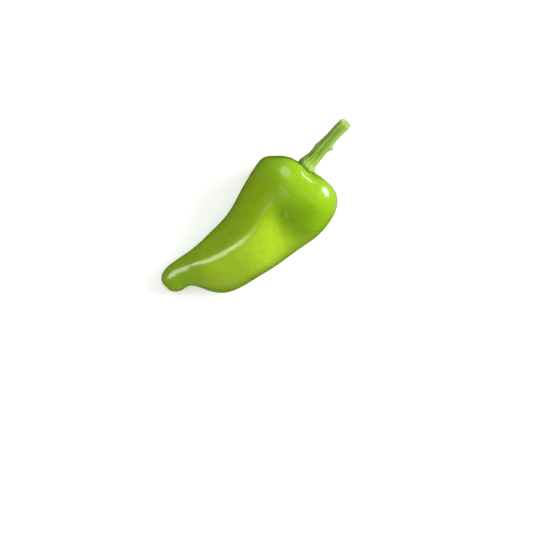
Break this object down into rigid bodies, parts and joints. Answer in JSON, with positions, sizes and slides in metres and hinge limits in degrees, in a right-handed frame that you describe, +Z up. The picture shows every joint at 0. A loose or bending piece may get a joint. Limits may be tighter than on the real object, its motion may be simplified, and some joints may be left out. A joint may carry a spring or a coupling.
{
  "type": "chili pepper",
  "caption": "Mild green chili pepper lying on its side: a lobed, curved pod with a blunt tip, and a ribbed stem with its calyx.",
  "frame": {"origin": "on the surface that the pepper lies on, under the middle of its bounding box", "axes": "+X from the blossom tip towards the stem, +Y to the left seen from the tip, +Z up"},
  "size_m": [0.1304, 0.0502, 0.0453],
  "materials": {
    "skin": "smooth waxy skin, glossy, yellow-green to grass green",
    "stem": "satin, fibrous, with lengthwise ribs and paler streaks"
  },
  "bodies": {
    "root": {"pod": "skin", "stem_and_calyx": "stem"}
  },
  "joints": []
}
